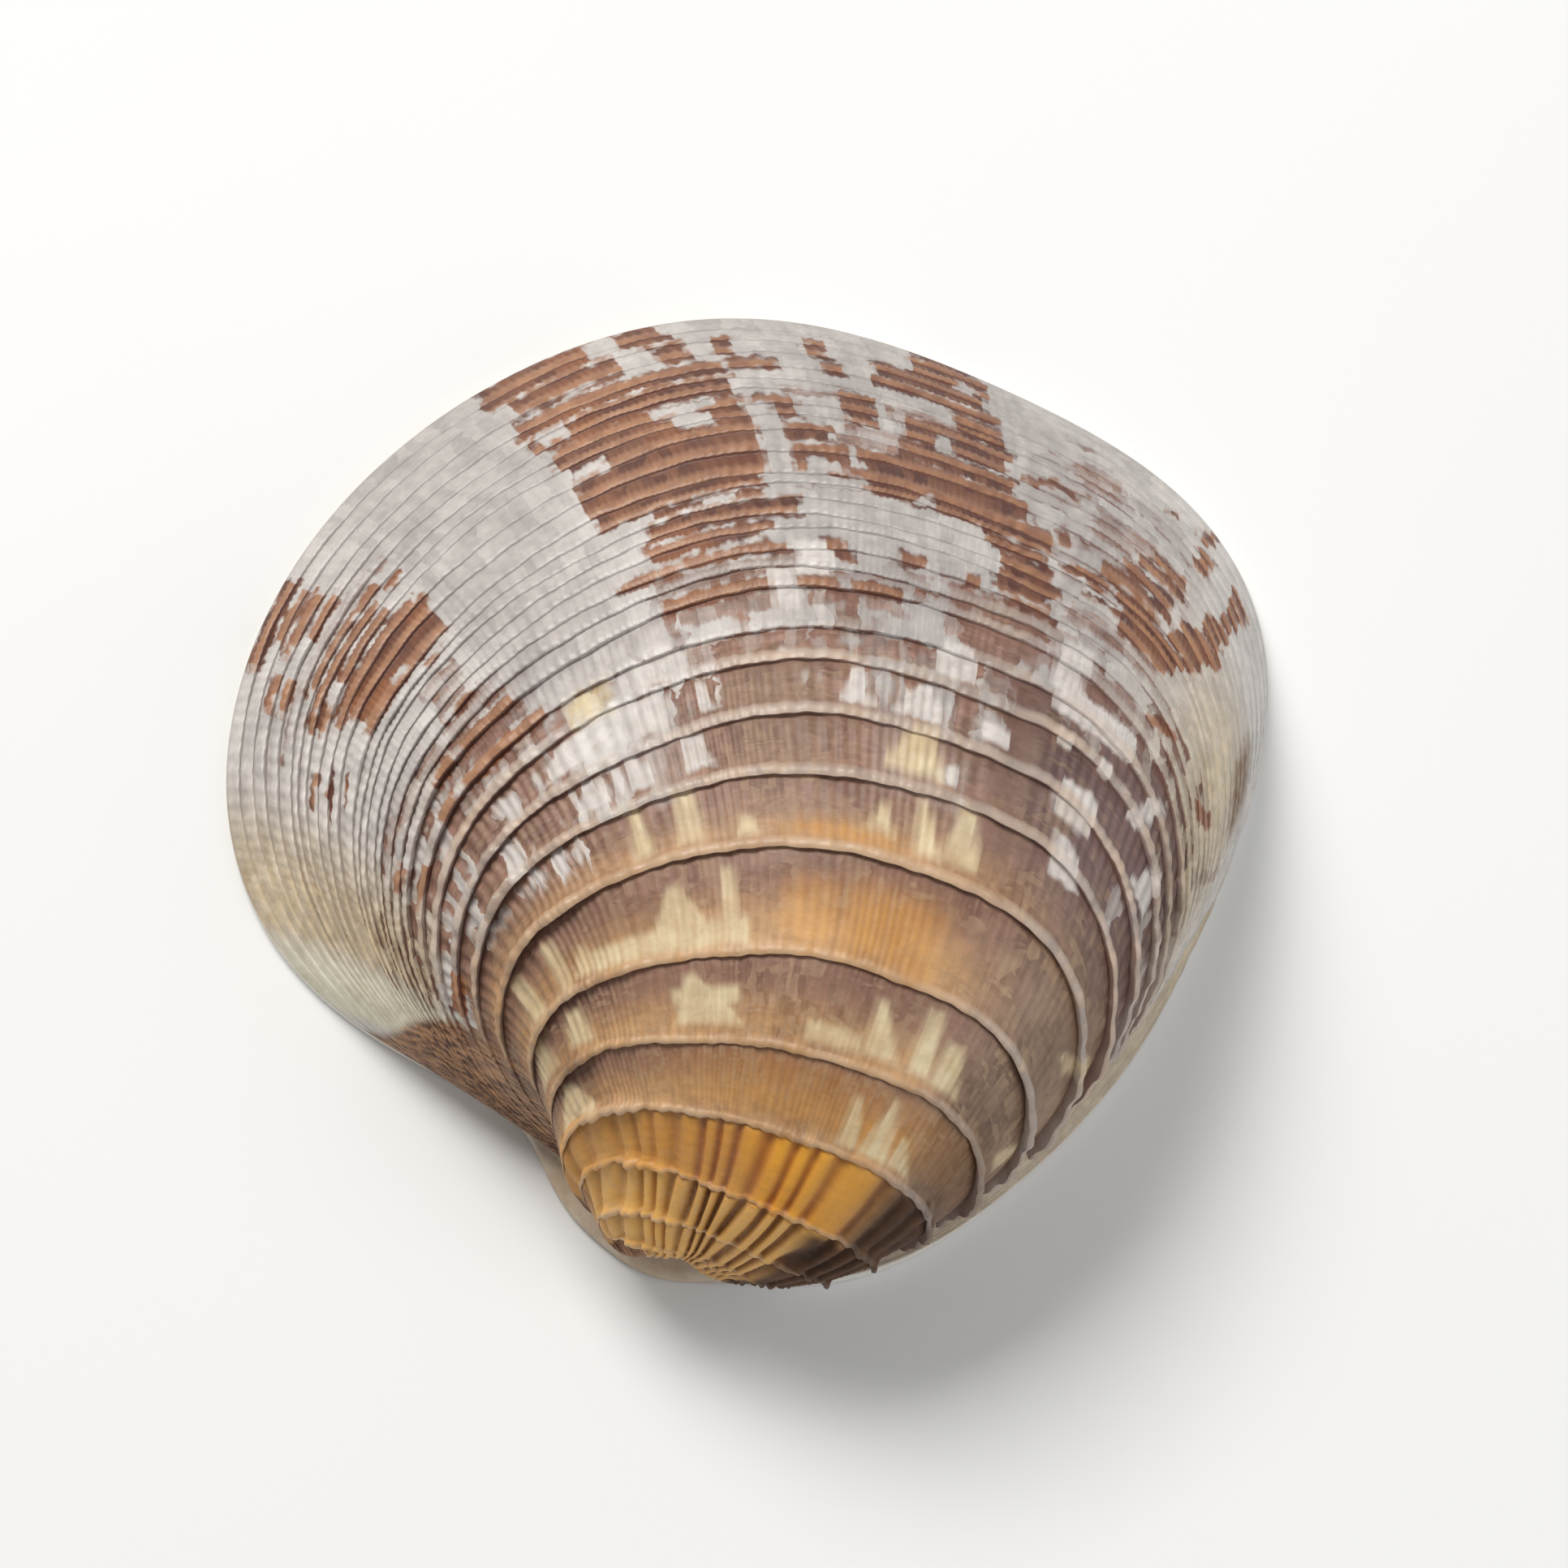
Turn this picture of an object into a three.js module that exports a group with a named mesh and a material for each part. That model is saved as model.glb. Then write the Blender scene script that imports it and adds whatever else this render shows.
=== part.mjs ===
// One valve of a venus clam, lying on its rim with the hollow side down.
// A clam shell grows by adding to its rim. Every growth line is a smaller copy of today's rim, turned about
// the hinge axis, so the outside is one surface: rim outline, shrunk and turned together towards the beak.
// Millimetres. +X is the tail end, -X the head end, -Y the hinge and beak, +Z the crown. The rim is at z = 0.
import * as THREE from "three";

// rim outline: radius about its middle, every 30 degrees from +X
const rimMiddle = new THREE.Vector2(2.1, 18.7);
const rimRadii = [21.1, 24.8, 24.1, 24.5, 25.1, 25.5, 25.6, 22.2, 18.8, 21.9, 20.9, 19.9];
// what the outline of the first, smallest growth line adds to those radii, every 60 degrees
const youngRadii = [9.8, 5.3, -5.2, 2.3, 7.4, -0.9];

// growth: how far a line turns while it shrinks, and where the hinge axis lies
const growthRate = 0.857;
const hingeTilt = THREE.MathUtils.degToRad(-14.7);
const beakRise = 3.2;
const oldestShrink = 2.4;

// rim and hinge plate
const rimHeight = 0.5;
const hingeMiddle = 262;
const hingeHalfWidth = 32;
const hingeRise = 0.8;
const hingeRiseFade = 6;
const plateMiddle = 256;
const plateHalfWidth = 11;
const plateReach = 1.9;
const plateEdgeHeight = 0.6;

// hollow: a dome over the rim, with steeper walls at the hinge and the tail end
const domeMiddle = new THREE.Vector2(3.5, 16);
const domeHeight = 14.8;
const domeBulge = 1.6;
const domeEdge = 1;
const domeSoftTop = 0.3;
const hingeWall = { middle: 268, halfWidth: 58, bulge: 0.6, edge: -0.35 };
const tailWall = { middle: 355, halfWidth: 45, bulge: 0.5, edge: -0.1 };
const rimBand = 1.8;
const bandSwells = [
  { middle: 270, halfWidth: 34, width: 6.6 },
  { middle: 318, halfWidth: 20, width: 1.2 },
  { middle: 222, halfWidth: 18, width: 1.4 },
];

// mesh
const columns = 84;
const growthRings = 26;
const domeRings = 11;
const shellMaterial = new THREE.MeshStandardMaterial({ color: 0xb59a86, roughness: 0.55, metalness: 0 });

// smooth closed curve through evenly spaced values (an even number of them)
function aroundLoop(values, angle) {
  const count = values.length;
  return values.reduce((sum, value, index) => {
    const offset = angle - (2 * Math.PI * index) / count;
    const slope = count * Math.tan(offset / 2);
    const weight = Math.abs(slope) < 1e-9 ? 1 : Math.sin((count * offset) / 2) / slope;
    return sum + value * weight;
  }, 0);
}

// 1 at the middle angle, falling to 0 on both sides; angles in degrees
function swell(angle, middle, halfWidth, power) {
  const gap = THREE.MathUtils.euclideanModulo(angle - middle + 180, 360) - 180;
  return Math.exp(-Math.pow(Math.abs(gap) / halfWidth, power));
}

// point of the outside, where shrink is 0 at the rim and grows towards the beak
function outsidePoint(angle, shrink) {
  const scale = Math.exp(-shrink);
  const degrees = THREE.MathUtils.radToDeg(angle);
  const radius = aroundLoop(rimRadii, angle) + (1 - scale) * aroundLoop(youngRadii, angle);
  const point = new THREE.Vector3(
    rimMiddle.x + radius * Math.cos(angle),
    rimMiddle.y + radius * Math.sin(angle),
    0,
  );
  const hingeAxis = new THREE.Vector3(Math.cos(hingeTilt), 0, Math.sin(hingeTilt));
  point.applyAxisAngle(hingeAxis, shrink / growthRate).multiplyScalar(scale);
  const hinge = swell(degrees, hingeMiddle, hingeHalfWidth, 4);
  point.z += beakRise * (1 - scale) + rimHeight + hingeRise * hinge * Math.pow(scale, hingeRiseFade);
  return point;
}

// rim edge: the outline, pushed out where the hinge plate shows past it
function rimPoint(angle, reachShare, height) {
  const edge = outsidePoint(angle, 0);
  const away = new THREE.Vector2(edge.x - rimMiddle.x, edge.y - rimMiddle.y).normalize();
  const degrees = THREE.MathUtils.radToDeg(angle);
  const reach = plateReach * reachShare * swell(degrees, plateMiddle, plateHalfWidth, 3);
  return new THREE.Vector3(edge.x + away.x * reach, edge.y + away.y * reach, height);
}

// point of the hollow, where share is 1 at the rim and 0 at the top of the dome
function domePoint(angle, share) {
  const degrees = THREE.MathUtils.radToDeg(angle);
  const edge = outsidePoint(angle, 0);
  const spoke = new THREE.Vector2(edge.x - domeMiddle.x, edge.y - domeMiddle.y);
  const band = bandSwells.reduce((sum, s) => sum + s.width * swell(degrees, s.middle, s.halfWidth, 2), rimBand);
  const reach = (spoke.length() - band) * share;
  spoke.normalize().multiplyScalar(reach);
  const hinge = swell(degrees, hingeWall.middle, hingeWall.halfWidth, 2);
  const tail = swell(degrees, tailWall.middle, tailWall.halfWidth, 2);
  const bulge = domeBulge + hingeWall.bulge * hinge + tailWall.bulge * tail;
  const edgePower = domeEdge + hingeWall.edge * hinge + tailWall.edge * tail;
  // rounding the share keeps the top of the dome smooth
  const rounded = (value) => Math.pow(Math.hypot(value, domeSoftTop), bulge);
  const drop = (rounded(share) - rounded(0)) / (rounded(1) - rounded(0));
  const height = domeHeight * Math.pow(1 - drop, edgePower);
  return new THREE.Vector3(domeMiddle.x + spoke.x, domeMiddle.y + spoke.y, height);
}

// rings of points from the beak, down the outside, over the rim and up the hollow
function shellRings() {
  const angles = Array.from({ length: columns }, (_, column) => (2 * Math.PI * column) / columns);
  const rings = [];
  for (let ring = growthRings; ring >= 0; ring -= 1) {
    rings.push(angles.map((angle) => outsidePoint(angle, (oldestShrink * ring) / growthRings)));
  }
  rings.push(angles.map((angle) => rimPoint(angle, 1, plateEdgeHeight * rimHeight)));
  rings.push(angles.map((angle) => rimPoint(angle, 1, 0)));
  for (let ring = domeRings; ring >= 1; ring -= 1) {
    rings.push(angles.map((angle) => domePoint(angle, ring / domeRings)));
  }
  return rings;
}

// one closed body: a fan at each end and bands of triangles between the rings
function shellGeometry() {
  const rings = shellRings();
  const beakTip = rings[0].reduce((sum, point) => sum.add(point), new THREE.Vector3()).divideScalar(columns);
  const domeTop = new THREE.Vector3(domeMiddle.x, domeMiddle.y, domeHeight);
  const points = [...rings.flat(), beakTip, domeTop];
  const tipIndex = points.length - 2;
  const topIndex = points.length - 1;
  const lastRing = (rings.length - 1) * columns;
  const faces = [];
  for (let column = 0; column < columns; column += 1) {
    const next = (column + 1) % columns;
    faces.push(tipIndex, column, next);
    faces.push(topIndex, lastRing + next, lastRing + column);
    for (let ring = 0; ring < rings.length - 1; ring += 1) {
      const here = ring * columns;
      const below = here + columns;
      faces.push(here + column, below + column, below + next);
      faces.push(here + column, below + next, here + next);
    }
  }
  const geometry = new THREE.BufferGeometry();
  geometry.setAttribute("position", new THREE.Float32BufferAttribute(points.flatMap((p) => p.toArray()), 3));
  geometry.setIndex(faces);
  // the origin is under the middle of the valve, on the plane of the rim
  geometry.computeBoundingBox();
  const middle = geometry.boundingBox.getCenter(new THREE.Vector3());
  geometry.translate(-middle.x, -middle.y, 0);
  geometry.computeVertexNormals();
  return geometry;
}

const clam = new THREE.Group();
const valve = new THREE.Mesh(shellGeometry(), shellMaterial);
valve.name = "valve";
clam.add(valve);

export default clam;
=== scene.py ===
import math
import bpy
import numpy as np
from mathutils import Matrix, Vector


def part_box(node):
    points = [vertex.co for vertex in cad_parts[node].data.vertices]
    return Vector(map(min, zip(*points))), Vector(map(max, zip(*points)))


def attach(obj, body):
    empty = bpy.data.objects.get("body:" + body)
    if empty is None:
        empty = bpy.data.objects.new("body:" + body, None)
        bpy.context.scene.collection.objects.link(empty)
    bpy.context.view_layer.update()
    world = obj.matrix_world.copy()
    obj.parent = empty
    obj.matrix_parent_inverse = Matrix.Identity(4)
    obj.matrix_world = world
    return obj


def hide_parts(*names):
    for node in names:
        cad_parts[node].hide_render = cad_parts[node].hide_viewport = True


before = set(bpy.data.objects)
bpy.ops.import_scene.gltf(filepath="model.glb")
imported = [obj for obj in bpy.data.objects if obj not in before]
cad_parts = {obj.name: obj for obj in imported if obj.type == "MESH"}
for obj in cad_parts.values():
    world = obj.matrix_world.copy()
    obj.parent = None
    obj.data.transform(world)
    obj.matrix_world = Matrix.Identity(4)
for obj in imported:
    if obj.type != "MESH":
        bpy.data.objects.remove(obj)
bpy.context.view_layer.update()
valveLow, valveHigh = [np.array(corner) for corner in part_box("valve")]
mm = 0.001

# How the valve grew. Angles go round the rim in degrees from the tail end; growth is 0 at the rim and
# rises towards the beak. Lengths are in millimetres from the hinge axis.
growth = {
    "rimMiddle": (2.1, 18.7),
    "rimRadii": (21.1, 24.8, 24.1, 24.5, 25.1, 25.5, 25.6, 22.2, 18.8, 21.9, 20.9, 19.9),
    "youngRadii": (9.8, 5.3, -5.2, 2.3, 7.4, -0.9),
    "rate": 0.857,
    "hingeTilt": math.radians(-14.7),
    "beakRise": 3.2,
    "rimHeight": 0.5,
    "hingeRise": 0.8,
}


def aroundLoop(values, angle):  # smooth closed curve through evenly spaced values
    total = 0
    for index, value in enumerate(values):
        offset = np.radians(angle) - 2 * math.pi * index / len(values)
        slope = len(values) * np.tan(offset / 2)
        flat = np.abs(slope) < 1e-9
        share = np.sin(len(values) * offset / 2) / np.where(flat, 1, slope)
        total = total + value * np.where(flat, 1, share)
    return total


def swell(angle, middle, halfWidth, power=2):  # 1 at the middle angle, falling to 0 on both sides
    gap = np.abs((angle - middle + 180) % 360 - 180)
    return np.exp(-((gap / halfWidth) ** power))


def ease(value, low, high):  # smooth step
    share = np.clip((value - low) / (high - low), 0, 1)
    return share * share * (3 - 2 * share)


def smoothOutside(angle, age):
    scale = np.exp(-age)
    radius = aroundLoop(growth["rimRadii"], angle) + (1 - scale) * aroundLoop(growth["youngRadii"], angle)
    x = growth["rimMiddle"][0] + radius * np.cos(np.radians(angle))
    y = growth["rimMiddle"][1] + radius * np.sin(np.radians(angle))
    point = np.stack([x, y, 0 * x], -1)
    axis = np.array([math.cos(growth["hingeTilt"]), 0, math.sin(growth["hingeTilt"])])
    turn = (age / growth["rate"])[..., None]
    along = (point @ axis)[..., None] * axis
    point = point * np.cos(turn) + np.cross(axis, point) * np.sin(turn) + along * (1 - np.cos(turn))
    point = point * scale[..., None]
    lift = growth["hingeRise"] * swell(angle, 262, 32, 4) * scale**6
    point[..., 2] += growth["beakRise"] * (1 - scale) + growth["rimHeight"] + lift
    return point


# Raised growth ridges: where each one's steep side stands, from the rim to the beak
ridges = {
    "lines": (0.020, 0.040, 0.062, 0.085, 0.106, 0.123, 0.143, 0.162, 0.186, 0.213, 0.246, 0.263, 0.281,
              0.303, 0.323, 0.350, 0.375, 0.402, 0.452, 0.498, 0.572, 0.652, 0.760, 0.936, 1.115, 1.313,
              1.565, 1.825, 2.08, 2.25, 2.45, 2.75, 3.2),
    "widest": 0.016,
    "share": 0.52,
    "tall": 0.24,
    "rimTall": 0.13,
    "lean": 0.5,
    "crevice": (0.03, 0.085),
    "uneven": (0.2, 0.16, 0.14, 0.2),
    "headExtra": 1.4,
    "tailExtra": 1.5,
    "fineRing": 0.014,
    "fineRingPitch": 0.023,
}
beak = {
    "starts": 1.29,
    "cheek": 2.9,
    "overhang": 1.5,
    "tipOverhang": 0.55,
}
ridgeLines = np.array((0.0,) + ridges["lines"])
lineCount = len(ridgeLines)


def lineShift(angle, age):  # growth lines drop back at both ends of the valve
    headEnd = 0.085 * np.clip((angle - 166) / 24, 0, 1.6) ** 1.6
    headEnd = headEnd * (1 - np.exp(-age / 0.09)) * np.exp(-age / 1.2)
    tailEnd = 0.03 * np.clip((55 - angle) / 15, 0, 2) ** 1.5
    tailEnd = tailEnd * (1 - np.exp(-age / 0.1)) * np.exp(-age / 1.5)
    back = ease(angle, 215, 250)
    return np.where(angle < 250, headEnd * (1 - back) + tailEnd * (angle < 120), 0)


def lineWander(angle, line):  # no two ridges run quite parallel
    turn = np.radians(angle)
    wave = np.sin(3 * turn + 2.1 * line) + 0.6 * np.sin(7 * turn + 4.7 * line)
    wave = wave + 0.35 * np.sin(17 * turn + line)
    fine = np.sin(41 * turn + 1.3 * line) + 0.7 * np.sin(67 * turn + 3.1 * line)
    return (0.002 * wave + 0.0005 * fine) * np.minimum(1, 0.5 + 0.14 * line)


mesh = {
    "columns": 640,
    "crowding": 2.2,
    "crowded": (112, 95),
    "widePitch": 0.045,
    "rowStep": 0.016,
    "tipAge": 2.3,
    "tipStep": 0.06,
    "bandRings": 18,
    "domeRings": 40,
}


def columnAngles(count):  # columns stand closer where the ridges and riblets show most
    fine = np.linspace(0, 360, 7201)
    density = 1 + mesh["crowding"] * swell(fine, *mesh["crowded"], 6)
    path = np.concatenate([[0], np.cumsum((density[1:] + density[:-1]) / 2)])
    return np.interp(np.arange(count) / count * path[-1], path, fine)


def ridgeRows():  # one row: the next ridge's number, share of the way to it, and its width as such a share
    rows = []
    for line in range(1, lineCount):
        near, far = ridgeLines[line - 1], ridgeLines[line]
        pitch = far - near
        width = min(ridges["widest"], ridges["share"] * pitch)
        wide = pitch > mesh["widePitch"]
        start = (0.0, 0.25, 0.7) if wide else (0.0, 0.35)
        end = (2.0, 1.4, 1.0, 0.7, 0.4, 0.2, 0.07, 0.004) if wide else (1.1, 0.7, 0.4, 0.15, 0.005)
        low, high = near + start[-1] * width, far - end[0] * width
        rowStep = mesh["rowStep"] if far < mesh["tipAge"] else mesh["tipStep"]
        between = int(max(1, round((high - low) / rowStep)))
        steps = [near + share * width for share in start]
        steps += [low + (high - low) * step / (between + 1) for step in range(1, between + 1)]
        steps += [far - share * width for share in end]
        rows += [(line, (step - near) / pitch, width / pitch) for step in steps]
    return np.array(rows)


angles = columnAngles(mesh["columns"])
rows = ridgeRows()
angleGrid = np.broadcast_to(angles, (len(rows), len(angles)))
lineGrid = np.broadcast_to(rows[:, :1], angleGrid.shape)
shareGrid = np.broadcast_to(rows[:, 1:2], angleGrid.shape)
widthGrid = np.broadcast_to(rows[:, 2:3], angleGrid.shape)
toLine = (1 - shareGrid) / widthGrid  # how far it is to the next ridge, in ridge widths
fromLine = shareGrid / widthGrid  # and how far it is from the last one


def lineAge(angle, line):
    age = np.interp(line, np.arange(lineCount), ridgeLines)
    loose = np.minimum(1, line)  # the rim itself stays where it is
    return age + loose * (lineShift(angle, age) + lineWander(angle, line))


ageNear, ageFar = lineAge(angleGrid, lineGrid - 1), lineAge(angleGrid, lineGrid)
ageGrid = ageNear + (ageFar - ageNear) * shareGrid
plain = smoothOutside(angleGrid, ageGrid)


def unit(vectors):
    return vectors / np.maximum(np.linalg.norm(vectors, axis=-1, keepdims=True), 1e-12)


towardsBeak = unit(np.gradient(plain, axis=0))
aroundRim = unit(np.roll(plain, -1, 1) - np.roll(plain, 1, 1))
outward = unit(np.cross(aroundRim, towardsBeak))


# Broad folds on the beak split into riblets as the valve grows, and those split again towards the rim
riblets = {
    "spacing": (10.4, 2.4, 1.2),
    "splits": (1.30, 0.45),
    "start": 2,
    "beakTwist": 17,
    "sway": (1.2, 2.2),
    "spread": 3.5,
    "gather": 2,
    "sharpness": 1.8,
    "deep": 0.05,
    "middleDeep": 0.011,
    "beakDeep": (0.1, 0.19),
}


def ribletWave(angle, age):
    slant = angle + riblets["start"] - riblets["beakTwist"] * np.clip(age - riblets["splits"][0], 0, 2)
    slant = slant + riblets["sway"][0] * np.sin(9 * age)
    slant = slant + riblets["sway"][1] * np.sin(np.radians(angle * 9))
    gather = riblets["gather"] * np.clip((angle - 118) / 30, 0, 1)
    slant = slant + riblets["spread"] * swell(angle, 57, 6) - gather
    fold = 0.5 - 0.5 * np.cos(2 * math.pi * slant / riblets["spacing"][0])
    wave = 1 - 2 * fold ** riblets["sharpness"]
    for split, spacing in zip(riblets["splits"], riblets["spacing"][1:]):
        finer = np.cos(2 * math.pi * slant / spacing + 0.9 * np.sin(np.radians(angle * 5)))
        wave = wave + (finer - wave) * ease(-age, -split - 0.02, -split + 0.02)
    return wave


def relief():  # height over the smooth outside in millimetres, and how far each ridge leans to the beak
    a, g = angleGrid, ageGrid
    size = np.exp(-g)
    tall = ridges["rimTall"] + (ridges["tall"] - ridges["rimTall"]) * ease(g, 0.25, 0.6)
    low = ease(g, 0.7, 0.95) * (1 - ease(g, 1.2, 1.3)) * ease(a, 40, 60)
    tall = tall * np.minimum(1, size / 0.2) * (1 - 0.3 * low)
    turn = np.radians(a)
    slow, quick, fast, each = ridges["uneven"]
    along = slow * np.sin(turn * 9 + 1.7 * lineGrid) + quick * np.sin(turn * 23 + 4.1 * lineGrid)
    along = along + fast * np.sin(turn * 61 + 2.3 * lineGrid) + each * np.sin(5.3 * lineGrid)
    tailEnd = ridges["tailExtra"] * swell(a, 10, 28) * ease(g, 0.3, 0.8)
    ends = 1 + ridges["headExtra"] * swell(a, 174, 22) + tailEnd
    hidden = 1 - 0.8 * ease(a, 188, 208) * (1 - ease(a, 325, 350))
    hidden = hidden * (1 - 0.55 * swell(a, 26, 13) * (1 - ease(g, 0.38, 0.5)))
    hidden = hidden * (1 - 0.35 * swell(a, 139, 11, 4) * (1 - ease(g, 0.28, 0.36)))
    tall = tall * (1 + along) * ends * hidden
    steep = ease(-toLine, -1.1, -0.25)
    young = (1 - ease(g, 0.32, 0.46)) * (1 - 0.8 * swell(a, 174, 24, 4))  # the last ridges are soft
    fall = 1 - (0.3 + 0.5 * young) * ease(-toLine, -0.45, 0)
    crest = (0.3 * ease(-toLine, -2.6, -0.9) + 0.7 * steep) * fall
    foot = 1 - ease(fromLine, 0, 0.5)
    flat = ease(fromLine, 0.1, 0.7) * (1 - 0.8 * steep)
    middle = ease(g, 0.55, 0.75) * (1 - 0.8 * swell(a, 178, 24, 4))
    deep = riblets["deep"] + (riblets["middleDeep"] - riblets["deep"]) * middle
    first, last = riblets["beakDeep"]
    beakDeep = first + (last - first) * ease(g, 1.55, 1.6)
    deep = deep + (beakDeep - deep) * ease(g, beak["starts"], 1.33)
    first, last = ridges["crevice"]
    crevice = first + (last - first) * ease(g, 0.3, 0.5)
    ribs = ribletWave(a, g)
    bumps = deep * ribs * hidden * np.minimum(1, size / 0.2) * (flat + 0.3 * steep)
    ring = np.sin(2 * math.pi * g / ridges["fineRingPitch"] + 2 * np.sin(turn * 7))
    rings = ridges["fineRing"] * ring * flat * (widthGrid < 0.4)
    height = tall * crest - crevice * foot * hidden + bumps + rings
    cheek = beak["cheek"] * swell(a, 222, 34) * ease(g, 0.9, 1.5) * (1 - ease(g, 2.15, 2.8))
    return height + cheek, ridges["lean"] * (1 - 0.8 * young) * tall * steep**2 * ease(-toLine, -0.9, 0)


height, lean = relief()
outside = plain + outward * height[..., None] + towardsBeak * lean[..., None]
tip = ease(ageGrid, 2.2, 2.7)
headSide = swell(angleGrid, 192, 62, 3)
overhang = ease(ageGrid, 1.55, 2.05) * (headSide * (1 - tip) + beak["tipOverhang"] * tip)
outside[..., 1] -= beak["overhang"] * overhang  # the head side of the beak hangs over the hinge
print("outside", outside.shape)

# Rim, hinge plate and hollow
inside = {
    "domeMiddle": (3.5, 16.0),
    "domeHeight": 14.8,
    "bulge": 1.6,
    "softTop": 0.3,
    "hingeBulge": 0.6,
    "tailBulge": 0.5,
    "rimBand": 1.8,
    "plateBand": (6.6, 1.2, 1.4),
    "plateReach": 1.9,
    "ledgeShare": 0.6,
}


def rimEdge(reachShare, height):
    edge = smoothOutside(angles, 0 * angles)
    away = unit(edge[:, :2] - np.array(growth["rimMiddle"]))
    reach = inside["plateReach"] * reachShare * swell(angles, 253, 13, 3)
    place = edge[:, :2] + away * reach[:, None]
    return np.column_stack([place, np.broadcast_to(height, angles.shape)])


def bandWidth():
    middle, tailSide, headSide = inside["plateBand"]
    hinge = middle * swell(angles, 270, 34) + tailSide * swell(angles, 318, 20)
    return inside["rimBand"] + (hinge + headSide * swell(angles, 222, 18))


def domeRing(share):
    edge = smoothOutside(angles, 0 * angles)[:, :2]
    spoke = edge - np.array(inside["domeMiddle"])
    long = np.linalg.norm(spoke, axis=1)
    reach = (long - bandWidth()) * share
    hinge, tail = swell(angles, 268, 58), swell(angles, 355, 45)
    bulge = inside["bulge"] + inside["hingeBulge"] * hinge + inside["tailBulge"] * tail
    edgePower = 1 - 0.35 * hinge - 0.1 * tail
    soft = inside["softTop"]
    drop = (np.hypot(share, soft) ** bulge - soft**bulge) / (np.hypot(1, soft) ** bulge - soft**bulge)
    height = inside["domeHeight"] * np.clip(1 - drop, 0, 1) ** edgePower
    place = np.array(inside["domeMiddle"]) + spoke / long[:, None] * reach[:, None]
    return np.column_stack([place, height])


def bandRing(share, height):
    outer, inner = rimEdge(1, 0.0), domeRing(1.0)
    ring = outer + (inner - outer) * share
    ring[:, 2] = height
    return ring


# The ledge under the beak, from the outside down to the flat rim: how far out and how high
ledge = ((0.35, 1.0), (0.7, 0.95), (0.92, 0.8), (1.0, 0.5), (1.0, 0.25), (0.97, 0.06))
ledgeRise = growth["rimHeight"] + growth["hingeRise"] * inside["ledgeShare"] * swell(angles, 258, 20, 4)
bandShares = np.concatenate([np.linspace(0.06, 0.9, mesh["bandRings"]), [0.95, 1.0]])
domeShares = 1 - np.linspace(0, 1, mesh["domeRings"] + 1)[1:-1] ** 1.35
under = [rimEdge(reach, ledgeRise * rise) for reach, rise in ledge]
under += [bandRing(share, 0.0) for share in bandShares]
under += [domeRing(share) for share in domeShares]
under = np.array(under)

# Teeth round the rim, three hinge teeth below the beak, two muscle scars and the mantle line
hollow = {
    "rimTeeth": {"pitch": 1.8, "deep": 0.3},
    "hingeTeeth": {"centre": (0.3, -2.2), "angles": (62, 88, 116), "halfWidth": 6.0, "deep": 1.3},
    "teethReach": (3.2, 10),
    "scars": ((-12.6, 15.5, 3.2, 5.0, 0.3), (16.2, 16.5, 3.6, 4.4, -0.2)),
    "scarDeep": 0.14,
    "mantleDeep": 0.07,
    "mantleLine": 4.6,
    "mantleBay": (22, 9, 6.0),
}


def hollowDetails():
    x, y = under[..., 0], under[..., 1]
    edge = smoothOutside(angles, 0 * angles)[:, :2]
    gap = np.hypot(x - edge[:, 0], y - edge[:, 1])
    bandShare = np.concatenate([np.zeros(len(ledge)), bandShares, np.ones(len(domeShares))])[:, None]
    domeShare = np.concatenate([np.ones(len(ledge) + len(bandShares)), domeShares])[:, None]
    hinge = ease(angles, 206, 216) * (1 - ease(angles, 318, 330))
    teeth = hollow["rimTeeth"]
    notches = 0.5 + 0.5 * np.cos(2 * math.pi * angles / teeth["pitch"])
    lift = teeth["deep"] * notches * (1 - hinge) * ease(bandShare, 0.4, 0.85) * ease(domeShare, 0.93, 0.99)
    teeth = hollow["hingeTeeth"]
    away = np.hypot(x - teeth["centre"][0], y - teeth["centre"][1])
    bearing = np.degrees(np.arctan2(y - teeth["centre"][1], x - teeth["centre"][0]))
    ridge = sum(swell(bearing, angle, teeth["halfWidth"], 4) for angle in teeth["angles"])
    near, far = hollow["teethReach"]
    plate = swell(bearing, 89, 48, 6) * ease(away, near, near + 1) * (1 - ease(away, far - 1.5, far))
    plate = plate * (1 - ease(bandShare, 0.82, 0.97))
    lift = lift + teeth["deep"] * plate * (1 - np.clip(ridge, 0, 1)) * (bandShare < 1)
    scar = 0 * x
    for middleX, middleY, halfX, halfY, turn in hollow["scars"]:
        across = (x - middleX) * math.cos(turn) + (y - middleY) * math.sin(turn)
        along = (y - middleY) * math.cos(turn) - (x - middleX) * math.sin(turn)
        scar = np.maximum(scar, 1 - ease(np.hypot(across / halfX, along / halfY), 0.93, 1.03))
    bay, wide, deep = hollow["mantleBay"]
    line = hollow["mantleLine"] + deep * swell(angles, bay, wide, 4)
    mantle = ease(gap, line - 0.2, line + 0.2) * (1 - hinge) * (domeShare < 1)
    lift = lift + (hollow["scarDeep"] * scar + hollow["mantleDeep"] * mantle) * (domeShare < 1)
    wall = np.concatenate([np.ones(len(ledge)), np.zeros(len(under) - len(ledge))])[:, None]
    wall = wall * swell(angles, 253, 17, 4)
    under[..., 2] += lift
    wall = wall + 0 * x
    return {"inner": 1 - wall, "ledge": wall, "scar": scar * (domeShare < 1), "mantle": mantle}


underFields = hollowDetails()
print("hollow", under.shape)

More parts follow.
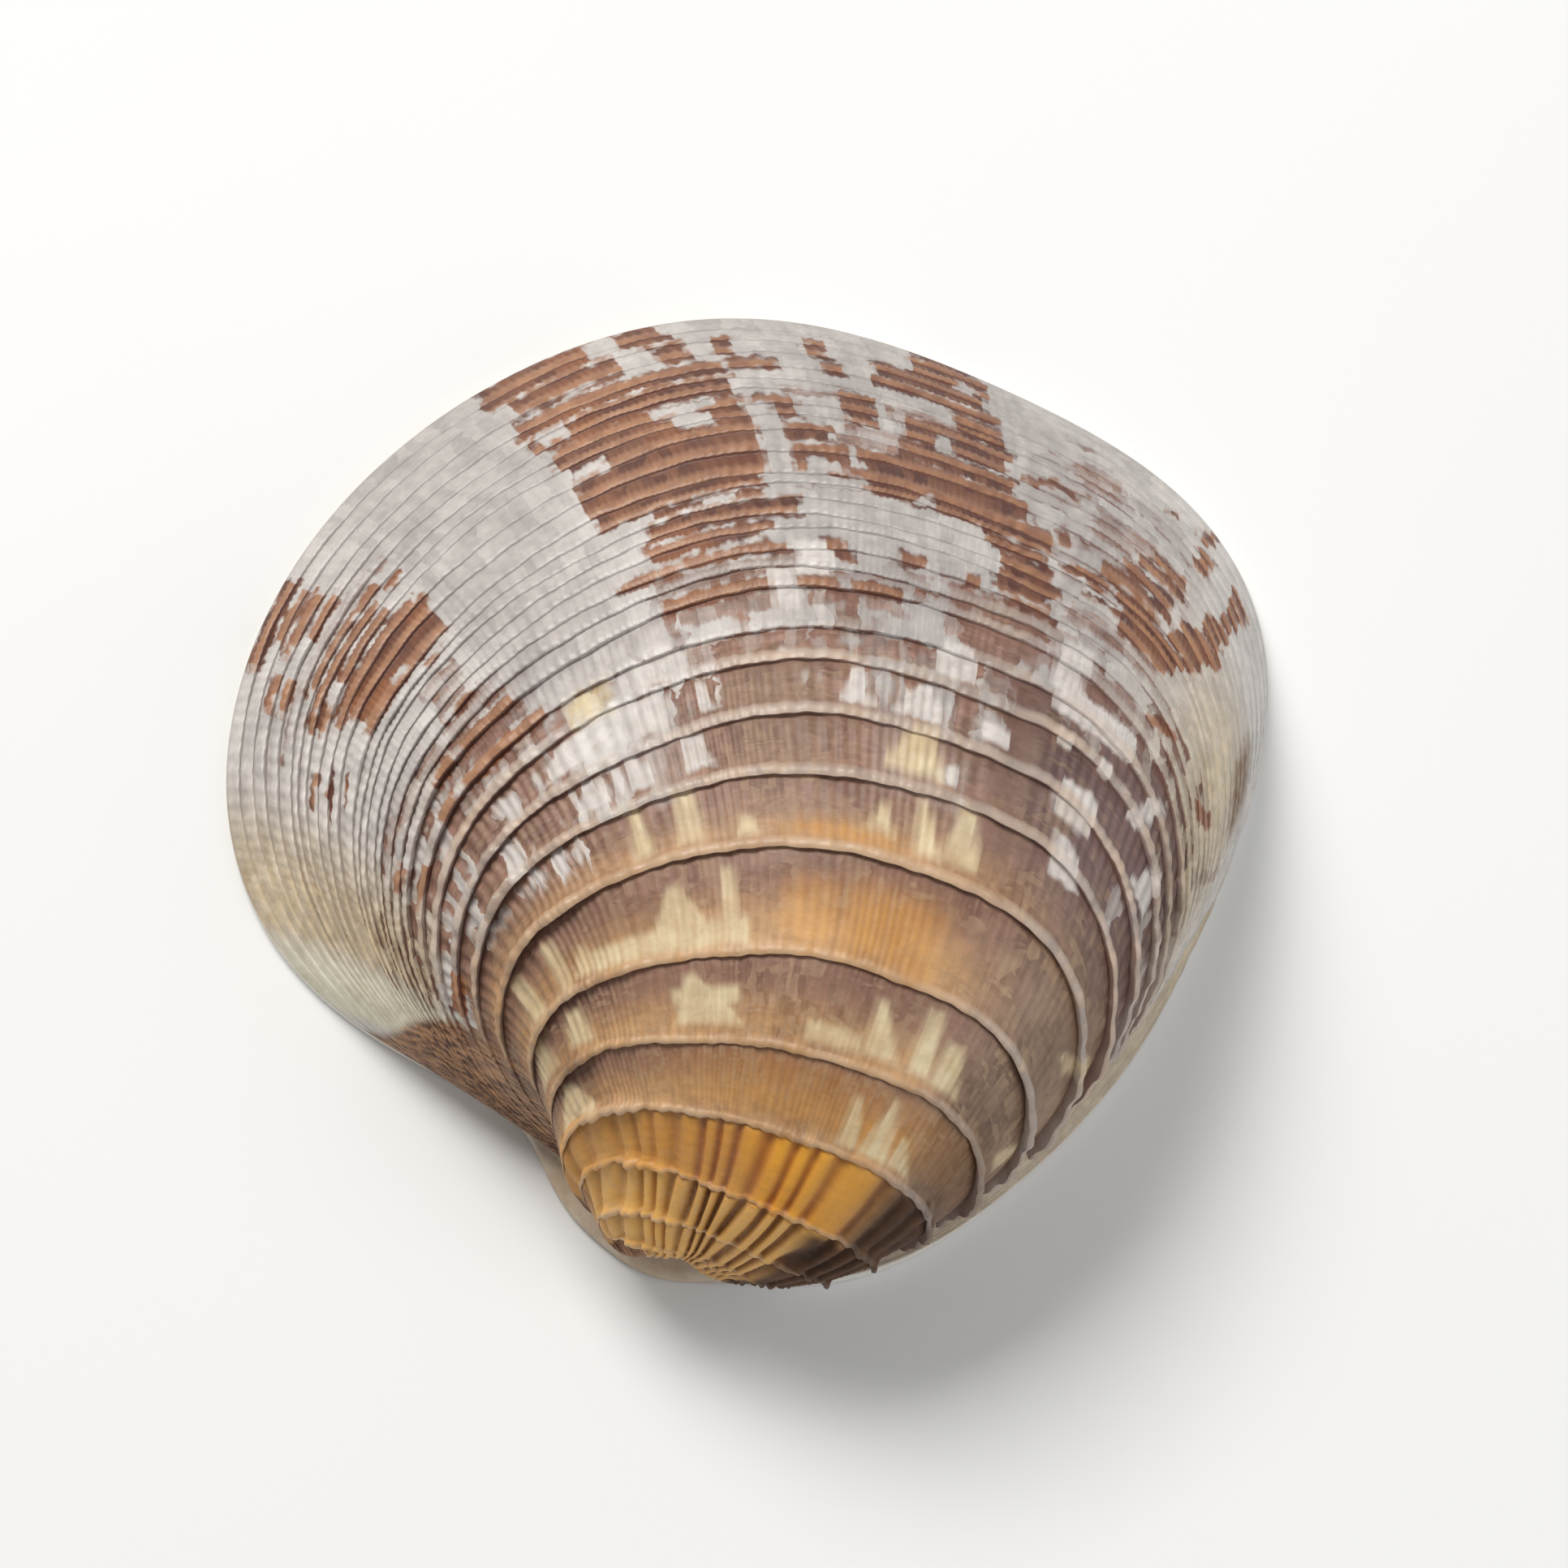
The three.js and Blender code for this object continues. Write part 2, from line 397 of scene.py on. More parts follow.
# Markings: from one age to another, between two angles, and if those change, the angles
# at the second age
markings = {
    "brown": (
        (0, 0.035, 107, 129), (0.035, 0.07, 106, 110), (0.035, 0.062, 114, 127),
        (0.062, 0.07, 114, 128.5), (0.075, 0.1, 103, 128.5), (0.1, 0.13, 103, 128),
        (0.13, 0.265, 102, 127), (0.265, 0.28, 103, 119.5), (0.28, 0.308, 98, 121),
        (0.312, 0.335, 103, 121), (0.343, 0.357, 99.5, 127), (0, 0.012, 72, 79), (0.01, 0.075, 70.5, 84),
        (0.075, 0.092, 69, 85), (0.09, 0.13, 69, 75), (0.125, 0.17, 67.5, 82), (0.115, 0.165, 85.5, 90),
        (0.17, 0.2, 66.5, 82), (0.175, 0.2, 91.5, 98.5), (0.2, 0.235, 64.5, 88.5), (0.205, 0.235, 90, 98),
        (0.23, 0.265, 61, 98), (0.265, 0.285, 61, 70), (0.285, 0.345, 60, 69), (0.345, 0.36, 60, 68),
        (0.03, 0.065, 89.5, 92), (0.035, 0.067, 100.5, 102.7), (0.07, 0.09, 96.5, 102.5),
        (0.07, 0.09, 88.5, 91), (0.13, 0.168, 96, 101), (0.337, 0.357, 71, 74), (0.335, 0.357, 80, 83.3),
        (0.335, 0.365, 91, 94.5), (0.387, 0.406, 83, 90.5), (0.387, 0.406, 93, 99.5),
        (0.387, 0.406, 103, 121.5), (0, 0.025, 157.5, 169), (0.03, 0.046, 158, 165),
        (0.05, 0.065, 157.3, 165.5), (0.05, 0.065, 168, 172), (0.075, 0.09, 157, 163),
        (0.077, 0.09, 168, 172), (0.115, 0.126, 153.5, 168), (0.13, 0.142, 151, 153.5),
        (0.13, 0.146, 155, 172), (0.15, 0.167, 155, 166), (0.14, 0.17, 169, 172.5),
        (0.17, 0.25, 151, 168.5), (0.182, 0.197, 150, 170), (0.262, 0.268, 154, 158),
        (0.17, 0.185, 177, 181), (0.203, 0.228, 175, 178, 179, 182.5),
        (0.238, 0.257, 175, 178, 178, 180.8), (0.345, 0.356, 152, 160), (0.39, 0.412, 150, 161),
        (0.39, 0.412, 163, 167.3), (0.44, 0.46, 147, 164), (0.44, 0.458, 166, 170),
        (0.455, 0.477, 178, 183), (0.4, 0.428, 181, 184.5), (0.6, 0.66, 189, 196),
        (0, 0.055, 37, 38.5, 39.5, 41), (0.065, 0.12, 38, 40.5, 40, 42), (0.055, 0.085, 31, 34.5),
        (0.085, 0.15, 31.5, 34, 34.5, 36.5), (0.15, 0.2, 33.5, 36.5, 34, 39),
        (0.2, 0.27, 34, 39.5, 38.5, 44.5), (0.27, 0.32, 38.5, 50, 42.5, 51), (0.203, 0.226, 43, 51),
        (0.226, 0.25, 43.5, 54), (0.252, 0.275, 45.5, 52), (0.255, 0.276, 53.5, 58.5),
        (0.285, 0.295, 50, 55.5), (0.155, 0.175, 41.5, 47.5), (0.175, 0.197, 42.5, 49),
        (0.14, 0.156, 58, 63), (0.15, 0.166, 63, 64.7), (0.215, 0.242, 58.5, 61.7, 59.3, 60.5),
        (0.04, 0.065, 43, 44, 45, 46), (0.37, 0.392, 37.5, 41, 39, 43.5), (0.34, 0.39, 22.5, 24, 27, 30),
    ),
    "cut": (
        (0, 0.03, 112.5, 116.5), (0.03, 0.07, 111, 114), (0.13, 0.145, 105, 113),
        (0.145, 0.17, 107, 111.7), (0.266, 0.28, 107, 112.5), (0, 0.045, 80, 85),
        (0.14, 0.172, 74.8, 77.2), (0.133, 0.165, 82.2, 85), (0.247, 0.266, 87.5, 98.5),
        (0.225, 0.246, 91, 96), (0.247, 0.26, 78.7, 80.5), (0.14, 0.155, 153, 155.3),
        (0.232, 0.242, 159.5, 162), (0.144, 0.24, 98.8, 102.5, 98.8, 100), (0.1, 0.12, 124, 127),
        (0.168, 0.185, 122, 127), (0.03, 0.045, 72, 74.5), (0.218, 0.24, 54.5, 58),
    ),
    "dusky": (
        (0.12, 0.142, 75, 84), (0.12, 0.13, 90, 97), (0.165, 0.2, 82, 91), (0.36, 0.38, 70.5, 75),
        (0.36, 0.375, 79, 82.5), (0.36, 0.385, 100, 120), (0.406, 0.425, 83, 90), (0.406, 0.425, 93, 99),
        (0.406, 0.43, 103, 120), (0.36, 0.43, 60, 76), (0.45, 0.487, 59, 69), (0.455, 0.487, 76.5, 90),
        (0.455, 0.49, 92, 120), (0.355, 0.385, 151, 161), (0.355, 0.385, 163, 178),
        (0.412, 0.43, 150, 166), (0.46, 0.48, 147, 170), (0.148, 0.172, 47, 55.5), (0.172, 0.197, 50, 55),
        (0.075, 0.12, 52.3, 58.5), (0.09, 0.1, 58.5, 61.5), (0.04, 0.05, 56, 58.5),
        (0.155, 0.168, 57.5, 60), (0.315, 0.345, 43, 58), (0.39, 0.43, 42, 54),
        (0.415, 0.465, 35.5, 38, 39, 44), (0.455, 0.52, 27, 36, 31, 37), (0.465, 0.545, 39, 62),
        (0.36, 0.42, 56, 61), (0.5, 0.56, 31, 60), (0.56, 0.66, 25, 70), (0.25, 0.42, 10, 12, 20, 22),
        (0.46, 0.6, 16, 24, 26, 37), (0.1, 0.11, 150, 178), (0.28, 0.34, 154, 160),
    ),
    "pale": (
        (0.34, 0.385, 94, 99.5), (0.375, 0.43, 100, 104), (0.44, 0.487, 70, 76), (0.43, 0.47, 44, 57),
        (0.37, 0.44, 53.5, 58), (0.46, 0.53, 35, 37.5, 38, 41), (0.545, 0.6, 47, 53.5, 44.5, 53),
        (0.52, 0.59, 29, 31, 28, 36), (0.62, 0.68, 47, 51, 43, 50.5), (0.44, 0.49, 122, 128),
        (0.5, 0.553, 128, 133, 126, 133), (0.505, 0.55, 138, 148, 136, 152),
        (0.505, 0.55, 118.5, 119.5, 115.5, 120), (0.505, 0.553, 77, 80, 73.5, 83),
        (0.503, 0.553, 89, 91, 86.5, 92.5), (0.525, 0.55, 63.5, 68, 62, 68),
        (0.575, 0.628, 121, 124.5, 118, 124.5), (0.575, 0.628, 134, 136, 132, 136.5),
        (0.578, 0.628, 144.5, 146, 141, 150), (0.57, 0.6, 187.5, 194.5), (0.6, 0.628, 69, 72.5),
        (0.49, 0.51, 46, 48), (0.49, 0.51, 53, 55),
    ),
    "yellow": (
        (0.455, 0.495, 134.5, 143, 136, 142), (0.565, 0.628, 75, 80, 71.5, 84),
        (0.655, 0.735, 125, 128.5, 123.5, 130), (0.655, 0.735, 137.5, 139.5, 135.5, 140),
        (0.66, 0.735, 75, 76.5, 70, 75), (0.655, 0.73, 65, 67.5, 62.5, 68.5),
        (0.715, 0.738, 112, 114, 110, 115), (0.685, 0.72, 83, 84, 81.5, 87),
        (0.79, 0.9, 117, 119.5, 114.5, 120), (0.8, 0.9, 131, 134, 122, 142), (0.875, 0.918, 112, 158),
        (0.85, 0.91, 159.5, 160.5, 157, 164), (1.0, 1.085, 53, 56, 49, 57),
        (0.96, 1.08, 60, 62.5, 57, 62.5), (0.98, 1.08, 72, 74.5, 65, 75), (1.05, 1.085, 76, 92),
        (0.97, 1.075, 130, 133, 113, 138), (0.74, 0.86, 12, 16, 26, 30), (1.15, 1.29, 60, 61.5, 56, 66),
        (1.17, 1.29, 71.5, 73, 66, 73.5), (1.22, 1.29, 54, 55, 49, 56), (1.0, 1.03, 115, 138),
        (0.98, 1.075, 168, 173, 166.5, 176), (0.97, 1.09, 186, 190, 184, 196),
        (1.17, 1.31, 183, 185, 174, 194), (1.0, 1.09, 16, 20, 20, 26),
        (0.8, 0.93, 167, 169.5, 165.5, 169.5), (0.8, 0.935, 179, 181.5, 176, 184),
    ),
}
markStyle = {
    "seed": 11,
    "sideways": 0.9,
    "stepAngle": 10,
    "snap": 0.75,
    "snapLoss": 0.4,
    "stretch": 120.0,
    "reach": 4.0,
}


def ridgeSteps():  # markings step sideways from ridge to ridge and follow the riblets
    chance = np.random.default_rng(markStyle["seed"])
    lastStep = 360 // markStyle["stepAngle"]
    sideways = chance.uniform(-markStyle["sideways"], markStyle["sideways"], (lineCount + 1, lastStep + 1))
    place = angleGrid / markStyle["stepAngle"]
    left = place.astype(int)
    blend = place - left
    line = lineGrid.astype(int)
    step = sideways[line, left] * (1 - blend) + sideways[line, np.minimum(left + 1, lastStep)] * blend
    spacing = np.where(ageGrid > riblets["splits"][1], *riblets["spacing"][1:])
    snapped = (np.floor(angleGrid / spacing) + 0.5) * spacing
    snap = markStyle["snap"] - markStyle["snapLoss"] * ease(ageGrid, 0.62, 0.66)
    return angleGrid + step + snap * (snapped - angleGrid)


steppedAngle = ridgeSteps()


def marks(name):  # how far inside the marks each point lies, in degrees round the rim
    deepest = np.full(angleGrid.shape, -markStyle["reach"])
    for near, far, left, right, *end in markings[name]:
        endLeft, endRight = end or (left, right)
        share = np.clip((ageGrid - near) / (far - near), 0, 1)
        start, stop = left + (endLeft - left) * share, right + (endRight - right) * share
        across = np.minimum(steppedAngle - start, stop - steppedAngle)
        along = np.minimum(ageGrid - near, far - ageGrid) * markStyle["stretch"]
        deepest = np.maximum(deepest, np.minimum(across, along))
    return np.clip(deepest, -markStyle["reach"], markStyle["reach"])


# Small soft zones, each with its strength, middle angle and half width. A taupe zone then has the ages
# where it starts and is full, and a gold zone its middle age and spread.
toneZones = {
    "taupe": ((0.6, 66, 9, 0.34, 0.38), (0.55, 48, 12, 0.36, 0.42), (0.5, 168, 15, 0.34, 0.38),
              (0.4, 106, 14, 0.34, 0.38)),
    "gold": ((0.4, 92, 13, 0.733, 0.016), (0.42, 77, 13, 0.86, 0.065), (0.35, 96, 8, 0.86, 0.06),
             (0.5, 61, 13, 1.25, 0.06), (0.3, 85, 60, 1.2, 0.08)),
}


def tones():  # soft colour zones: 0 outside a zone, and about 1 where it is strongest
    a, g = angleGrid, ageGrid
    head = a < 200
    taupe = ease(g, 0.4, 0.5) * (0.62 + 0.3 * swell(a, 105, 16, 4) + 0.6 * swell(a, 43, 20, 4))
    taupe = taupe + ease(g, 0.42, 0.5) * 0.15 * swell(a, 165, 16, 4)
    taupe = taupe * (1 - 0.35 * swell(a, 133, 14, 4) * (1 - ease(g, 0.5, 0.6)))
    for strength, middle, halfWidth, first, full in toneZones["taupe"]:
        taupe = np.maximum(taupe, strength * swell(a, middle, halfWidth, 4) * ease(g, first, full))
    taupe = np.maximum(taupe, ease(g, 0.58, 0.72))
    taupe = np.maximum(taupe, 0.9 * ease(a, 285, 310) * ease(g, 0.2, 0.35))
    taupe = taupe * (1 - 0.85 * ease(a, 186, 196) * (1 - ease(g, 0.5, 0.7)))
    purple = swell(a, 40, 27, 4) * ease(g, 0.32, 0.5) * (1 - ease(g, 0.62, 0.85))
    warm = ease(g, 0.58, 0.82) * ease(a, 42, 66)
    beige = ease(a, 178, 192) * (1 - ease(a, 196, 203))
    beige = np.maximum(beige, 0.9 * swell(a, 25, 14) * ease(g, 0.12, 0.3))
    beige = np.maximum(beige, 0.8 * ease(a, 276, 296) * (1 - ease(g, 0.2, 0.4)))
    beige = beige * (1 - ease(g, 0.5, 0.6) * head)
    greenish = ease(a, 196, 202) * (1 - ease(a, 208, 212)) * (1 - ease(g, 0.5, 0.8))
    edge = 213 - 14 * ease(g, 0.0, 0.7) + 10 * ease(g, 0.9, 1.3)
    lunule = ease(a, edge - 1, edge + 1) * (1 - ease(a, 243, 247))
    gold = ease(g, 1.305, 1.325) * (0.6 + 0.4 * swell(a, 78, 26, 4)) * ease(a, 40, 58)
    gold = gold * (1 - 0.5 * ease(g, 1.57, 1.6))
    for strength, middle, halfWidth, age, spread in toneZones["gold"]:
        gold = np.maximum(gold, strength * swell(a, middle, halfWidth, 4) * swell(g, age, spread, 4))
    dark = ease(g, 1.31, 1.36) * (1 - ease(a, 42, 60)) * head
    dark = np.maximum(dark, ease(g, 1.57, 1.6) * (1 - ease(a, 60, 72)) * head)
    dark = np.maximum(dark, 0.5 * (1 - ease(a, 34, 56)) * ease(g, 1.0, 1.2) * head)
    dark = np.maximum(dark, 0.55 * swell(a, 178, 8, 4) * swell(g, 1.15, 0.05, 4))
    stain = swell(a, 19, 4.5, 4) * swell(g, 0.2, 0.05, 4)
    middle = ease(g, 0.31, 0.37) * (1 - ease(g, 0.66, 0.78))
    middle = middle * (1 - ease(g, 0.48, 0.58) * swell(a, 100, 45, 6))
    middle = middle * (1 - 0.75 * swell(a, 136, 13, 4) * (1 - ease(g, 0.4, 0.5)))
    middle = np.maximum(middle, 0.8 * swell(a, 52, 12, 4) * ease(g, 0.05, 0.12) * (1 - ease(g, 0.3, 0.4)))
    middle = middle * ease(a, 14, 28) * (1 - ease(a, 196, 206))
    tan = ease(g, 1.57, 1.59) * head
    smooth = np.maximum(ease(g, 1.3, 1.32) * ease(a, 118, 158), 1 - ease(g, 1.27, 1.3))
    grey = np.maximum(swell(a, 76, 34, 4), 0.9 * swell(a, 139, 12, 4) * (1 - ease(g, 0.35, 0.5)))
    return {
        "taupe": taupe, "purple": purple, "warm": warm, "beige": beige, "greenish": greenish,
        "lunule": lunule, "gold": gold, "dark": dark, "tan": tan, "smooth": smooth, "grey": grey,
        "stain": stain, "middle": middle, "headEnd": swell(a, 174, 22, 4),
        # less painted crest highlight towards the beak at the tail end
        "lessCrestHighlight": ease(g, 0.7, 0.9) * (1 - ease(a, 35, 60)) * head,
    }


def reliefTones():  # where the ridges, grooves and riblets lie
    crest = ease(-toLine, -1.0, -0.45)
    # painted shadow: the crevice band at each ridge's foot and the strip just beneath its overhang get dark
    # crevice shade, mixed with real brown lines
    grooveShadeAndPigment = np.maximum(1 - ease(fromLine, 0, 0.5), 1 - ease(toLine, 0, 0.1))
    after = np.exp(-fromLine / 0.9)
    late = ease(shareGrid, 0.2, 0.75)
    riblet = ribletWave(angleGrid, ageGrid)
    return {"crest": crest, "grooveShadeAndPigment": grooveShadeAndPigment, "after": after, "late": late, "riblet": riblet}


fields = {name: marks(name) for name in markings}
fields.update(tones())
fields.update(reliefTones())
fields["inner"] = fields["scar"] = fields["mantle"] = 0 * angleGrid
fields["ledge"] = swell(angleGrid, 256, 12, 4) * (1 - ease(ageGrid, 0.02, 0.07))
fields["spot"] = swell(angleGrid, 239, 4.5, 4) * swell(ageGrid, 0.72, 0.12, 4)
print("markings", len(fields))


# The growth map runs once round the rim and up through the ridges, and below 0 on the underside
growthMap = {"lines": 31, "underLines": 4, "beakTip": 1.1, "domeTop": -0.14}


def makeShell():
    rings = np.concatenate([outside[::-1], under])
    count = len(angles)
    beakTip = rings[0].mean(0)
    domeTop = np.array([*inside["domeMiddle"], inside["domeHeight"]])
    points = np.concatenate([rings.reshape(-1, 3), [beakTip], [domeTop]])
    smooth = np.concatenate([plain.reshape(-1, 3), rimEdge(1, 0.0)])
    middle = (smooth.min(0) + smooth.max(0)) / 2
    boxMiddle = (valveLow + valveHigh) / 2
    points[:, :2] -= middle[:2]
    points = points * mm + np.array([boxMiddle[0], boxMiddle[1], valveLow[2]])
    column = np.arange(count)
    nextColumn = (column + 1) % count
    here = np.arange(len(rings) - 1)[:, None] * count
    corners = (here + column, here + count + column, here + count + nextColumn, here + nextColumn)
    quads = np.stack(corners, -1).reshape(-1, 4)
    tipIndex, topIndex = len(points) - 2, len(points) - 1
    last = (len(rings) - 1) * count
    fans = np.concatenate([
        np.stack([np.full(count, tipIndex), column, nextColumn], -1),
        np.stack([np.full(count, topIndex), last + nextColumn, last + column], -1),
    ])
    shell = bpy.data.meshes.new("valve_shell")
    shell.vertices.add(len(points))
    shell.vertices.foreach_set("co", points.astype(np.float32).ravel())
    loops = np.concatenate([quads.ravel(), fans.ravel()]).astype(np.int32)
    starts = np.concatenate([np.arange(len(quads)) * 4, len(quads) * 4 + np.arange(len(fans)) * 3])
    shell.loops.add(len(loops))
    shell.loops.foreach_set("vertex_index", loops)
    shell.polygons.add(len(starts))
    shell.polygons.foreach_set("loop_start", starts.astype(np.int32))
    shell.update(calc_edges=True)
    shell.polygons.foreach_set("use_smooth", np.ones(len(starts), dtype=bool))
    addFields(shell, len(rings), loops)
    piece = bpy.data.objects.new("valve_shell", shell)
    bpy.context.collection.objects.link(piece)
    return piece, middle


def addFields(shell, ringCount, loops):
    count = len(angles)
    underCount = ringCount - len(rows)
    for name, grid in fields.items():
        value = np.full((ringCount, count), -markStyle["reach"] if name in markings else 0.0)
        value[:len(rows)] = grid[::-1]
        if name in underFields:
            value[len(rows):] = underFields[name]
        ends = [value[0].mean(), value[-1].mean()]
        layer = shell.attributes.new(name, "FLOAT", "POINT")
        layer.data.foreach_set("value", np.concatenate([value.ravel(), ends]).astype(np.float32))
    across = np.tile(angles / 360, ringCount)
    below = -np.linspace(0.02, 1, underCount) * growthMap["underLines"]
    up = np.concatenate([(rows[:, 0] - 1 + rows[:, 1])[::-1], below])
    along = np.repeat(up / growthMap["lines"], count)
    across = np.concatenate([across, [0.5, 0.5]])
    along = np.concatenate([along, [growthMap["beakTip"], growthMap["domeTop"]]])
    lookup = across[loops]
    quadLoops = lookup[:(ringCount - 1) * count * 4].reshape(-1, 4)
    seam = quadLoops.max(1) - quadLoops.min(1) > 0.5
    quadLoops[seam] = np.where(quadLoops[seam] < 0.5, quadLoops[seam] + 1, quadLoops[seam])
    layer = shell.uv_layers.new(name="growth")
    layer.data.foreach_set("uv", np.column_stack([lookup, along[loops]]).astype(np.float32).ravel())


valve, poleMiddle = makeShell()
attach(valve, "root")
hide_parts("valve")
print("shell", len(valve.data.polygons))


class Wire:  # a node socket that can be used in ordinary sums
    def __init__(self, tree, socket=None):
        self.tree, self.socket = tree, socket

    def node(self, kind, settings=None, links=None, output=0):
        made = self.tree.nodes.new(kind)
        for name, value in (settings or {}).items():
            setattr(made, name, value)
        for name, value in (links or {}).items():
            if isinstance(value, Wire):
                self.tree.links.new(value.socket, made.inputs[name])
            else:
                made.inputs[name].default_value = value
        return Wire(self.tree, made.outputs[output])

    def sum(self, operation, *parts):
        return self.node("ShaderNodeMath", {"operation": operation}, dict(enumerate(parts)))

    def __add__(self, other):
        return self.sum("ADD", self, other)

    def __sub__(self, other):
        return self.sum("SUBTRACT", self, other)

    def __rsub__(self, other):
        return self.sum("SUBTRACT", other, self)

    def __mul__(self, other):
        return self.sum("MULTIPLY", self, other)

    __radd__, __rmul__ = __add__, __mul__

    def larger(self, other):
        return self.sum("MAXIMUM", self, other)

    def smaller(self, other):
        return self.sum("MINIMUM", self, other)

    def ease(self, low, high):
        links = {"Value": self, "From Min": low, "From Max": high}
        return self.node("ShaderNodeMapRange", {"interpolation_type": "SMOOTHSTEP"}, links)

    def mix(self, first, second):  # this value picks between two colours
        return self.node("ShaderNodeMix", {"data_type": "RGBA"}, {0: self, 6: first, 7: second}, 2)


def paint(red, green, blue):  # everyday colour values to linear light
    linear = [((part / 255 + 0.055) / 1.055) ** 2.4 for part in (red, green, blue)]
    return (*linear, 1)


shellLook = {
    "white": (paint(216, 210, 204), paint(164, 158, 154)),
    "brown": (paint(146, 100, 72), paint(78, 46, 38)),
    "rust": paint(168, 104, 58),
    # painted highlight: lighter brown on the crests of the ridges
    "brownCrestHighlight": (paint(182, 136, 102), paint(140, 100, 78)),
    "taupe": (paint(160, 124, 107), paint(96, 66, 56)),
    "purple": (paint(118, 95, 92), paint(70, 52, 52)),
    "warm": (paint(202, 158, 110), paint(134, 94, 60)),
    "early": (paint(150, 112, 92), paint(94, 62, 50)),
    "rear": (paint(152, 124, 102), paint(92, 70, 54)),
    "beige": (paint(214, 194, 160), paint(180, 160, 128)),
    "greenish": (paint(226, 220, 198), paint(204, 196, 172)),
    "lunule": (paint(180, 134, 96), paint(92, 60, 42)),
    "gold": (paint(240, 170, 54), paint(164, 90, 20)),
    "tan": (paint(236, 180, 92), paint(132, 80, 28)),
    "dark": (paint(98, 60, 26), paint(34, 20, 6)),
    "yellow": (paint(226, 210, 172), paint(206, 182, 138)),
    # painted shade and pigment: dark brown for the crevice shadow under each ridge and between riblets, and
    # for the real brown lines along the ridges
    "grooveShadeAndPigment": paint(92, 44, 26),
    "hatch": paint(206, 174, 138),
    # painted shade: grey in the crevices of the ridges
    "greyGrooveShade": paint(126, 112, 106),
    # pale crest colour with painted highlight on the ridge crests
    "crest": (paint(194, 171, 152), paint(203, 162, 112)),
    "inner": (paint(244, 240, 232), paint(234, 222, 208)),
    "scar": paint(206, 184, 172),
    "ledge": (paint(214, 198, 176), paint(184, 158, 128)),
    "spot": paint(112, 82, 84),
    "stain": paint(116, 80, 44),
    "speck": paint(120, 100, 90),
    "roughness": 0.34,
    "refraction": 1.52,
    "bump": 0.45,
    "bumpDistance": 0.0001,
}
# Grain scales, higher for a finer grain. Plain numbers are the same every way, and sets of three follow
# the growth map. Tiles are counted round the rim, and the broad ones also from ridge to ridge.
shellGrain = {
    "wobble": 900,
    "blotch": 170,
    "coarse": 420,
    "fine": 1400,
    "speck": 3200,
    "streak": (300, 14, 1),
    "cells": (150, 46, 1),
    "fibres": (160, 40, 1),
    "threads": (60, 220, 1),
    "broken": (22, 40, 1),
    "narrowTile": 200,
    "wideTile": 84,
    "broadTile": (170, 5),
}


